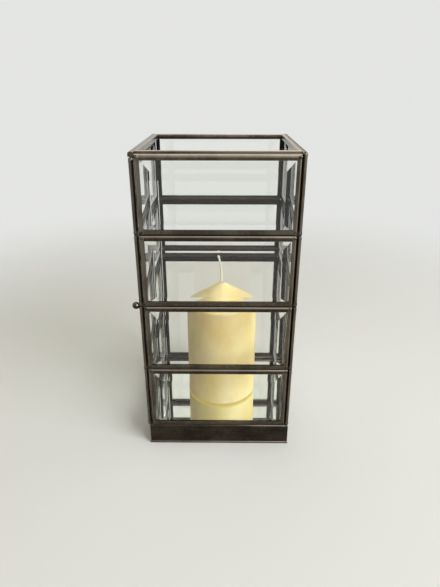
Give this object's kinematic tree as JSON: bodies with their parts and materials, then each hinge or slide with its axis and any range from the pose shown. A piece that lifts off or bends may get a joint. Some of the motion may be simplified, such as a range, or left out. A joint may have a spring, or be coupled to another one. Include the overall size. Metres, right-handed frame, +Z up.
{
  "type": "candle lantern",
  "caption": "Tall open-topped box lantern of bevelled glass panes in dark folded metal frames, with a hinged side door, a mirrored floor and a cream pillar candle.",
  "frame": {"origin": "underside of the plinth, on the centre line of the front and back panels", "axes": "+Z up, front towards -Y, the door on the -X side with its hinge at the back"},
  "size_m": [0.1207, 0.1129, 0.2361],
  "materials": {
    "came": "aged dark pewter",
    "bead": "aged dark pewter",
    "plinth": "aged dark pewter",
    "bottom": "matt",
    "hinge": "aged dark pewter",
    "pin": "worn",
    "knob": "worn",
    "pane": "clear, bevelled",
    "mirror": "silvered",
    "wax": "smooth wax",
    "wick": "waxed cotton"
  },
  "bodies": {
    "lantern": {"base_plinth": "plinth", "base_bottom": "bottom", "floor_mirror": "mirror", "front_frame_1": "came", "front_frame_2": "came", "front_frame_3": "came", "front_frame_4": "came", "front_pane_1": "pane", "front_pane_2": "pane", "front_pane_3": "pane", "front_pane_4": "pane", "back_frame_1": "came", "back_frame_2": "came", "back_frame_3": "came", "back_frame_4": "came", "back_pane_1": "pane", "back_pane_2": "pane", "back_pane_3": "pane", "back_pane_4": "pane", "right_frame_1": "came", "right_frame_2": "came", "right_frame_3": "came", "right_frame_4": "came", "right_pane_1": "pane", "right_pane_2": "pane", "right_pane_3": "pane", "right_pane_4": "pane", "head_rail": "came", "rim_bead": "bead", "hinge_lower_fixed": "hinge", "hinge_lower_pin": "pin", "hinge_upper_fixed": "hinge", "hinge_upper_pin": "pin"},
    "door": {"door_frame_1": "came", "door_frame_2": "came", "door_frame_3": "came", "door_frame_4": "came", "door_pane_1": "pane", "door_pane_2": "pane", "door_pane_3": "pane", "door_pane_4": "pane", "hinge_lower_door": "hinge", "hinge_upper_door": "hinge", "door_knob": "knob"},
    "candle": {"candle": "wax", "wick": "wick"}
  },
  "joints": [
    {"name": "door_hinge", "type": "hinge", "parent": "lantern", "child": "door", "pos_m": [-0.0586, 0.0559, 0.125], "axis": [0, 0, -1], "range_deg": [0, 180]},
    {"name": "candle_lift", "type": "slide", "parent": "lantern", "child": "candle", "axis": [0, 0, 1], "range_m": [0, 0.23]}
  ]
}
